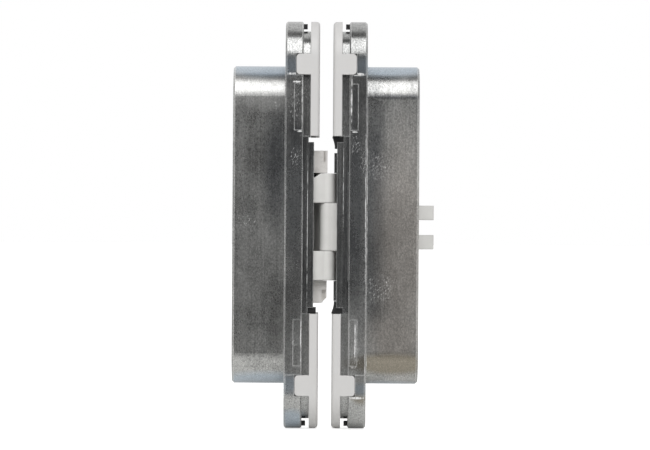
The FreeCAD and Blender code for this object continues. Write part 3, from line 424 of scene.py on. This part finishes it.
def blasted_lugs(colours):
    """A plated carrier whose lugs were masked and blasted: dry beige silver, a little blotchy.

    The blasting's grit is drawn coarser than it is, so that it shows. The blasted zinc is drawn paler
    than it is: painted light that offsets the shade the lugs sit in.
    """
    material, tree, shader = new_material("plated_carrier_with_blasted_lugs")
    plated, plated_rough, plated_metallic, layers = carrier_plating(tree, colours)
    blotches = spotted(tree, 2.2, detail=5.0, rough=0.65)
    grit = spotted(tree, 0.35, detail=3.0)
    # Painted light: the blasted zinc is drawn paler than it is, to offset the shade the lugs sit in
    blasted = laid_over(tree, colours.casting, colours.lug_blotch, blotches, 0.50, 0.76, 0.5)
    blasted = laid_over(tree, blasted, colours.lug_edge, edge_share(tree, 0.25), most=0.5)
    lug = near_gap(tree, LUG_REACH)
    body = add(tree, "ShaderNodeMix", {0: lug, 6: plated, 7: blasted}, out=2, data_type="RGBA")
    rough = add(tree, "ShaderNodeMix", {0: lug, 2: plated_rough, 3: 0.6})
    metallic = add(tree, "ShaderNodeMix", {0: lug, 2: plated_metallic, 3: 0.05})
    fill(tree, shader, {"Base Color": body, "Roughness": rough, "Metallic": metallic,
                        "Normal": relief(tree, [*layers, (grit, 0.008)])})
    return material


def blasted_zinc(colours):
    """Die-cast zinc, blasted and left bare: blotchy beige silver with a dry grain.

    The blasting's grit is drawn coarser than it is, so that it shows.
    """
    material, tree, shader = new_material("blasted_zinc_casting")
    blotches = spotted(tree, 2.2, detail=5.0, rough=0.65)
    grit = spotted(tree, 0.35, detail=3.0)
    # The blasted zinc colour is drawn paler than it is, painted light raised for the shaded lugs, and
    # the rib shares it
    body = laid_over(tree, colours.casting, colours.rib_blotch, blotches, 0.35, 0.68)
    body = laid_over(tree, body, colours.rib_edge, edge_share(tree, 0.25), most=0.6)
    rough = add(tree, "ShaderNodeMapRange",
                {"Value": blotches, "From Min": 0.3, "From Max": 0.7, "To Min": 0.46, "To Max": 0.6})
    fill(tree, shader, {"Base Color": body, "Roughness": rough, "Metallic": 0.75,
                        "Normal": relief(tree, [(grit, 0.02)])})
    return material


def powder_coat(name, colour, shade, round_mm):
    """Powder-coated zinc: satin, with the faint orange peel that the powder leaves as it flows.

    The coat rounds the edges by round_mm.
    """
    material, tree, shader = new_material(name)
    peel = spotted(tree, 0.8, detail=2.0)
    clouds = spotted(tree, 7, detail=3.0)
    body = laid_over(tree, colour, shade, clouds, 0.35, 0.7, 0.35)
    rough = add(tree, "ShaderNodeMapRange",
                {"Value": clouds, "From Min": 0.3, "From Max": 0.7, "To Min": 0.4, "To Max": 0.5})
    fill(tree, shader, {"Base Color": body, "Roughness": rough, "IOR": 1.5,
                        "Normal": relief(tree, [(peel, 0.008)], round_mm)})
    return material


def ground_steel(colours):
    """Pin steel, ground round: rings across the axis and a tight gloss.

    The rings are drawn coarser than they are, so that they show.
    """
    material, tree, shader = new_material("ground_steel")
    rings = spotted(tree, 0.25, stretch=(12, 12, 1), detail=2.0)
    body = laid_over(tree, colours.steel, colours.steel_rings, rings, 0.35, 0.7, 0.5)
    rough = add(tree, "ShaderNodeMapRange",
                {"Value": rings, "From Min": 0.3, "From Max": 0.7, "To Min": 0.2, "To Max": 0.34})
    fill(tree, shader, {"Base Color": body, "Roughness": rough, "Metallic": 1.0,
                        "Normal": relief(tree, [(rings, 0.004)])})
    return material


def zinc_plated_steel(colours):
    """Turned steel screws in bright zinc: bluish silver, a little cloudy."""
    material, tree, shader = new_material("zinc_plated_steel")
    clouds = spotted(tree, 1.6, detail=4.0)
    body = laid_over(tree, colours.screw_zinc, colours.plating_light, clouds, 0.35, 0.7)
    rough = add(tree, "ShaderNodeMapRange",
                {"Value": clouds, "From Min": 0.35, "From Max": 0.7, "To Min": 0.24, "To Max": 0.4})
    fill(tree, shader, {"Base Color": body, "Roughness": rough, "Metallic": 1.0})
    return material


def moulded_acetal(colours):
    """Black acetal as moulded: a dull sheen and the spark grain of the mould.

    The grain is drawn coarser than it is, so that it shows.
    """
    material, tree, shader = new_material("moulded_acetal")
    grain = spotted(tree, 0.3, detail=2.0)
    body = laid_over(tree, colours.plastic, colours.plastic_grain, grain, 0.35, 0.7, 0.6)
    rough = add(tree, "ShaderNodeMapRange",
                {"Value": grain, "From Min": 0.3, "From Max": 0.7, "To Min": 0.45, "To Max": 0.6})
    fill(tree, shader, {"Base Color": body, "Roughness": rough, "IOR": 1.48,
                        "Normal": relief(tree, [(grain, 0.01)])})
    return material


def names_with(*words):
    """The CAD nodes whose names hold one of some words."""
    return [name for name in NODES if any(word in name for word in words)]


def dress(names, material):
    """Gives CAD nodes a material in place of their plain one."""
    for name in names:
        for slot in NODES[name].material_slots:
            slot.material = material


class FinishHousings(bpy.types.Operator):
    """Plates the two cast housings"""
    bl_idname = "hinge.finish_housings"
    bl_label = "Housings"

    def execute(self, context):
        dress(names_with("_housing"), zinc_plated_casting(context.scene.hinge_finish))
        return {"FINISHED"}


class FinishCarriers(bpy.types.Operator):
    """Plates the carriers, blasts the frame side's lugs, and leaves the guide rib bare"""
    bl_idname = "hinge.finish_carriers"
    bl_label = "Carriers and rib"

    def execute(self, context):
        colours = context.scene.hinge_finish
        dress(["door_carrier"], zinc_plated_carrier(colours))
        dress(["frame_carrier"], blasted_lugs(colours))
        dress(["door_guide_rib"], blasted_zinc(colours))
        return {"FINISHED"}


class FinishCovers(bpy.types.Operator):
    """Coats the four covers"""
    bl_idname = "hinge.finish_covers"
    bl_label = "Covers"

    def execute(self, context):
        colours = context.scene.hinge_finish
        dress(names_with("_cover_top", "_cover_bottom"),
              powder_coat("cover_powder_coat", colours.cover_paint, colours.cover_shade, 0.5))
        return {"FINISHED"}


class FinishArms(bpy.types.Operator):
    """Coats the three curved arms"""
    bl_idname = "hinge.finish_arms"
    bl_label = "Arms"

    def execute(self, context):
        colours = context.scene.hinge_finish
        dress(names_with("_arm"),
              powder_coat("arm_powder_coat", colours.arm_paint, colours.arm_shade, 1.0))
        return {"FINISHED"}


class FinishPins(bpy.types.Operator):
    """Grinds the pivot, centre and slider pins"""
    bl_idname = "hinge.finish_pins"
    bl_label = "Pins"

    def execute(self, context):
        dress(names_with("_pin"), ground_steel(context.scene.hinge_finish))
        return {"FINISHED"}


class FinishScrews(bpy.types.Operator):
    """Plates the clamp screws and the eccentrics under the covers"""
    bl_idname = "hinge.finish_screws"
    bl_label = "Adjusting screws"

    def execute(self, context):
        dress(names_with("_clamp_screw_", "_eccentric_"),
              zinc_plated_steel(context.scene.hinge_finish))
        return {"FINISHED"}


class FinishStops(bpy.types.Operator):
    """Moulds the black end stop, the two ramps and the cover latches"""
    bl_idname = "hinge.finish_stops"
    bl_label = "Stop, ramps and latches"

    def execute(self, context):
        dress(names_with("_end_pad", "_end_ramp_", "_cover_latch_"),
              moulded_acetal(context.scene.hinge_finish))
        return {"FINISHED"}


def white_paper(stage):
    """Matt white paper: it keeps the hinge's soft shadow and is white wherever nothing shades it."""
    material, tree, shader = new_material("white_paper")
    fibre = spotted(tree, 1.5, detail=2.0)
    body = laid_over(tree, stage.floor_colour, stage.floor_fibre, fibre, 0.3, 0.7)
    camera = add(tree, "ShaderNodeLightPath", out="Is Camera Ray")
    glossy = add(tree, "ShaderNodeLightPath", out="Is Glossy Ray")
    mirrored = add(tree, "ShaderNodeMath", {0: glossy, 1: 0.1}, operation="MULTIPLY")
    # The paper gives back about this much of the ambient light, and its glow adds what is missing
    given_back = 0.8 * stage.ambient
    glow = add(tree, "ShaderNodeMath", {0: camera, 1: 1.0 - given_back, 2: mirrored},
               operation="MULTIPLY_ADD")
    fill(tree, shader, {"Base Color": body, "Roughness": 0.9, "Emission Color": (1, 1, 1),
                        "Emission Strength": glow})
    return material


def lay_floor(stage, middle, low):
    """A floor that runs far behind the hinge and ends a little in front of it."""
    shell = bmesh.new()
    bmesh.ops.create_grid(shell, x_segments=1, y_segments=1, size=stage.floor_size / 2)
    mesh = bpy.data.meshes.new("floor")
    shell.to_mesh(mesh)
    shell.free()
    floor = bpy.data.objects.new("floor", mesh)
    floor.location = (middle[0], stage.floor_size / 2 - stage.floor_front, low - stage.floor_drop)
    mesh.materials.append(white_paper(stage))
    bpy.context.scene.collection.objects.link(floor)


def hang_soft_box(stage, middle):
    """A wide lamp that faces the hinge from the front and above, and isn't seen itself."""
    lamp = bpy.data.lights.new("soft_box", "AREA")
    lamp.shape = "RECTANGLE"
    lamp.size = stage.key_width
    lamp.size_y = stage.key_length
    lamp.energy = stage.key_power
    place = Vector((middle[0], -stage.key_ahead, stage.key_height))
    holder = bpy.data.objects.new("soft_box", lamp)
    holder.location = place
    holder.rotation_euler = (Vector(middle) - place).to_track_quat("-Z", "Y").to_euler()
    holder.visible_camera = False
    bpy.context.scene.collection.objects.link(holder)


def light_room(stage):
    """White to the camera, even light on the hinge, and in reflections a room with a dark front."""
    world = bpy.data.worlds.new("studio")
    world.use_nodes = True
    tree = world.node_tree
    place = add(tree, "ShaderNodeTexCoord", out="Generated")
    across = add(tree, "ShaderNodeSeparateXYZ", {"Vector": place}, out="X")
    behind = add(tree, "ShaderNodeSeparateXYZ", {"Vector": place}, out="Y")
    across = add(tree, "ShaderNodeMath", {0: across}, operation="ABSOLUTE")
    # The room brightens from its dark front to the white wall behind, and to its side walls
    back_wall = add(tree, "ShaderNodeMapRange",
                    {"Value": behind, "From Min": -0.14, "From Max": 0.1,
                     "To Min": stage.front_dark, "To Max": 1.0})
    side_wall = add(tree, "ShaderNodeMapRange",
                    {"Value": across, "From Min": 0.5, "From Max": 0.85,
                     "To Min": stage.front_dark, "To Max": stage.side_walls})
    room = add(tree, "ShaderNodeMath", {0: back_wall, 1: side_wall}, operation="MAXIMUM")
    glossy = add(tree, "ShaderNodeLightPath", out="Is Glossy Ray")
    through = add(tree, "ShaderNodeLightPath", out="Is Transmission Ray")
    mirrored = add(tree, "ShaderNodeMath", {0: glossy, 1: through}, operation="MAXIMUM")
    around = add(tree, "ShaderNodeMapRange",
                 {"Value": behind, "From Min": -1, "To Min": stage.ambient_front,
                  "To Max": stage.ambient})
    strength = add(tree, "ShaderNodeMix", {0: mirrored, 2: around, 3: room})
    camera = add(tree, "ShaderNodeLightPath", out="Is Camera Ray")
    strength = add(tree, "ShaderNodeMix", {0: camera, 2: strength, 3: 1.0})
    fill(tree, tree.nodes["Background"], {"Color": (1, 1, 1), "Strength": strength})
    bpy.context.scene.world = world


def place_camera(stage, middle):
    """A long lens, level with the hinge, that looks along the plates' edges."""
    camera = bpy.data.cameras.new("camera")
    camera.lens = stage.lens
    away = stage.view_width * stage.lens / camera.sensor_width
    holder = bpy.data.objects.new("camera", camera)
    holder.location = (GAP_MIDDLE - stage.view_shift, middle[1] - away, 0)
    holder.rotation_euler = (math.radians(90), -stage.roll, 0)
    bpy.context.scene.collection.objects.link(holder)
    bpy.context.scene.camera = holder


class SetStage(bpy.types.Operator):
    """Sets the floor, the soft box, the light from all round and the camera"""
    bl_idname = "hinge.set_stage"
    bl_label = "Stage"

    def execute(self, context):
        stage = context.scene.hinge_stage
        low, high = CAD_BOX
        middle = [(a + b) / 2 for a, b in zip(low, high)]
        lay_floor(stage, middle, low[2])
        hang_soft_box(stage, middle)
        light_room(stage)
        place_camera(stage, middle)
        context.scene.view_settings.view_transform = "Standard"
        return {"FINISHED"}


STEPS = (FinishHousings, FinishCarriers, FinishCovers, FinishArms, FinishPins, FinishScrews,
         FinishStops, SetStage)


class HingePanel(bpy.types.Panel):
    """Lists the steps that finish the hinge"""
    bl_idname = "VIEW3D_PT_hinge"
    bl_label = "Concealed hinge"
    bl_space_type = "VIEW_3D"
    bl_region_type = "UI"
    bl_category = "Hinge"

    def draw(self, context):
        for step in STEPS:
            self.layout.operator(step.bl_idname)
        for settings in (context.scene.hinge_finish, context.scene.hinge_stage):
            column = self.layout.column()
            for name in settings.bl_rna.properties.keys():
                if name not in ("rna_type", "name"):
                    column.prop(settings, name)


CLASSES = (HingeFinish, HingeStage, *STEPS, HingePanel)


def register():
    for item in CLASSES:
        bpy.utils.register_class(item)
    bpy.types.Scene.hinge_finish = PointerProperty(type=HingeFinish)
    bpy.types.Scene.hinge_stage = PointerProperty(type=HingeStage)


def unregister():
    del bpy.types.Scene.hinge_stage
    del bpy.types.Scene.hinge_finish
    for item in reversed(CLASSES):
        bpy.utils.unregister_class(item)


def main():
    register()
    bpy.ops.hinge.finish_housings()
    bpy.ops.hinge.finish_carriers()
    bpy.ops.hinge.finish_covers()
    bpy.ops.hinge.finish_arms()
    bpy.ops.hinge.finish_pins()
    bpy.ops.hinge.finish_screws()
    bpy.ops.hinge.finish_stops()
    bpy.ops.hinge.set_stage()


if __name__ == "__main__":
    main()
